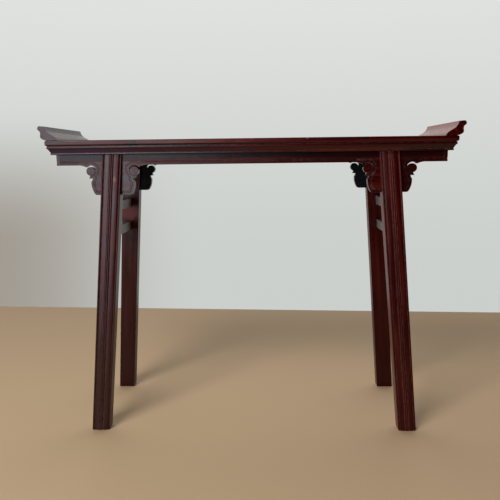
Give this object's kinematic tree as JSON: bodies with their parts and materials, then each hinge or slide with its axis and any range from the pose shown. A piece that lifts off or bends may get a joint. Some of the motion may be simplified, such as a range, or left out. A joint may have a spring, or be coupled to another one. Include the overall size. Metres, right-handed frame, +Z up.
{
  "type": "altar table",
  "caption": "Narrow recessed-leg altar table with everted ends, moulded top, cloud-scroll spandrels and side stretchers.",
  "frame": {"origin": "on the floor, at the centre of the table's plan", "axes": "+X to the right along the length of the table seen from its front, front towards -Y, +Z up"},
  "size_m": [1.2162, 0.362, 0.9208],
  "materials": {
    "leg_lacquer": "dark oxblood lacquer, worn at the arrises",
    "top_lacquer": "dark oxblood lacquer, semi-gloss",
    "flange_lacquer": "dark oxblood lacquer, semi-gloss",
    "apron_lacquer": "dark oxblood lacquer, semi-gloss",
    "stretcher_lacquer": "dark oxblood lacquer, dulled",
    "underside_wood": "bare darkened softwood"
  },
  "bodies": {
    "root": {"top_front_rail": "top_lacquer", "top_rear_rail": "top_lacquer", "top_left_end_rail": "top_lacquer", "top_right_end_rail": "top_lacquer", "top_panel": "top_lacquer", "left_batten": "underside_wood", "centre_batten": "underside_wood", "right_batten": "underside_wood", "left_everted_flange": "flange_lacquer", "right_everted_flange": "flange_lacquer", "front_apron": "apron_lacquer", "rear_apron": "apron_lacquer", "left_end_apron": "apron_lacquer", "right_end_apron": "apron_lacquer", "front_left_spandrel": "apron_lacquer", "front_right_spandrel": "apron_lacquer", "rear_left_spandrel": "apron_lacquer", "rear_right_spandrel": "apron_lacquer", "front_left_leg": "leg_lacquer", "front_right_leg": "leg_lacquer", "rear_left_leg": "leg_lacquer", "rear_right_leg": "leg_lacquer", "left_upper_stretcher": "stretcher_lacquer", "left_lower_stretcher": "stretcher_lacquer", "right_upper_stretcher": "stretcher_lacquer", "right_lower_stretcher": "stretcher_lacquer"}
  },
  "joints": []
}
